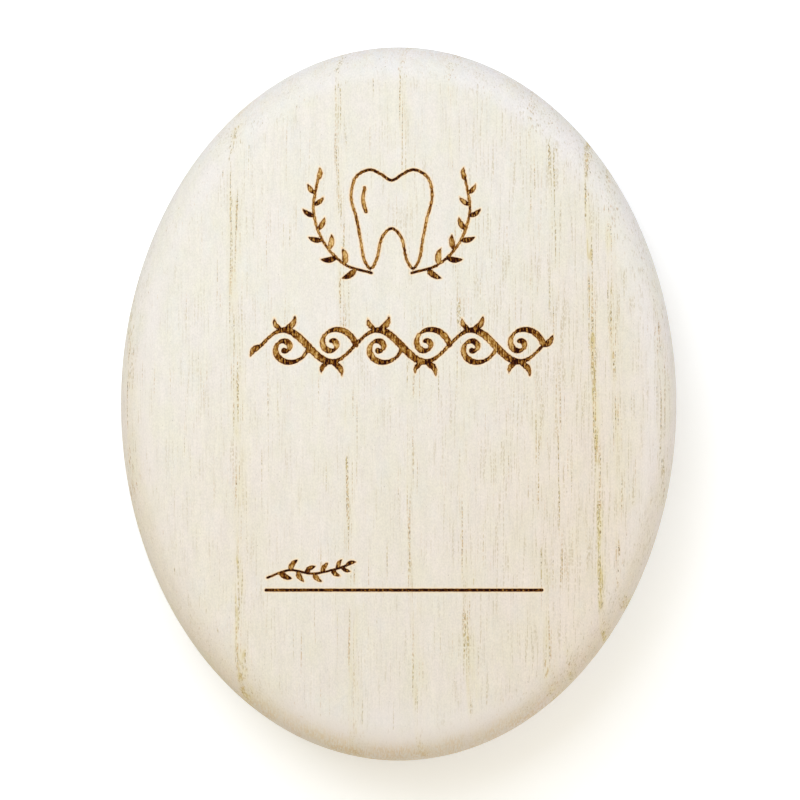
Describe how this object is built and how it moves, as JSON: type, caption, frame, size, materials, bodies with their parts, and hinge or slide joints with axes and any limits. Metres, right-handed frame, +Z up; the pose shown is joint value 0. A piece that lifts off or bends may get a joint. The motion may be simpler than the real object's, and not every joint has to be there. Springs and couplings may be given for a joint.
{
  "type": "baby tooth box",
  "caption": "Oval pale-wood keepsake box: a flat lid with a burnt ornament swivels off a tray with a ring of small round tooth wells and an oval middle pocket.",
  "frame": {"origin": "middle of the oval underside that the box stands on", "axes": "+Z up through the lid, +Y along the box towards the lid's pivot, +X to the right of the lid's ornament"},
  "size_m": [0.095, 0.122, 0.0273],
  "materials": {
    "base_wood": "sanded bare paulownia",
    "lid_wood": "sanded bare paulownia with a burnt ornament",
    "tray_wood": "sanded bare paulownia",
    "plug_wood": "sanded bare paulownia",
    "bush_nylon": "natural nylon",
    "screw_steel": "plain stainless steel",
    "insert_brass": "turned brass",
    "magnet_nickel": "nickel plated"
  },
  "bodies": {
    "base": {"base": "base_wood", "tooth_tray": "tray_wood", "pivot_bush": "bush_nylon", "pivot_plug": "plug_wood", "base_magnet_left": "magnet_nickel", "base_magnet_right": "magnet_nickel"},
    "lid": {"lid": "lid_wood", "lid_insert": "insert_brass", "pivot_screw": "screw_steel", "head_washer": "screw_steel", "lid_magnet_left": "magnet_nickel", "lid_magnet_right": "magnet_nickel"}
  },
  "joints": [
    {"name": "lid_swivel", "type": "hinge", "parent": "base", "child": "lid", "pos_m": [0, 0.0529, 0.0163], "axis": [0, 0, 1], "continuous": true}
  ]
}
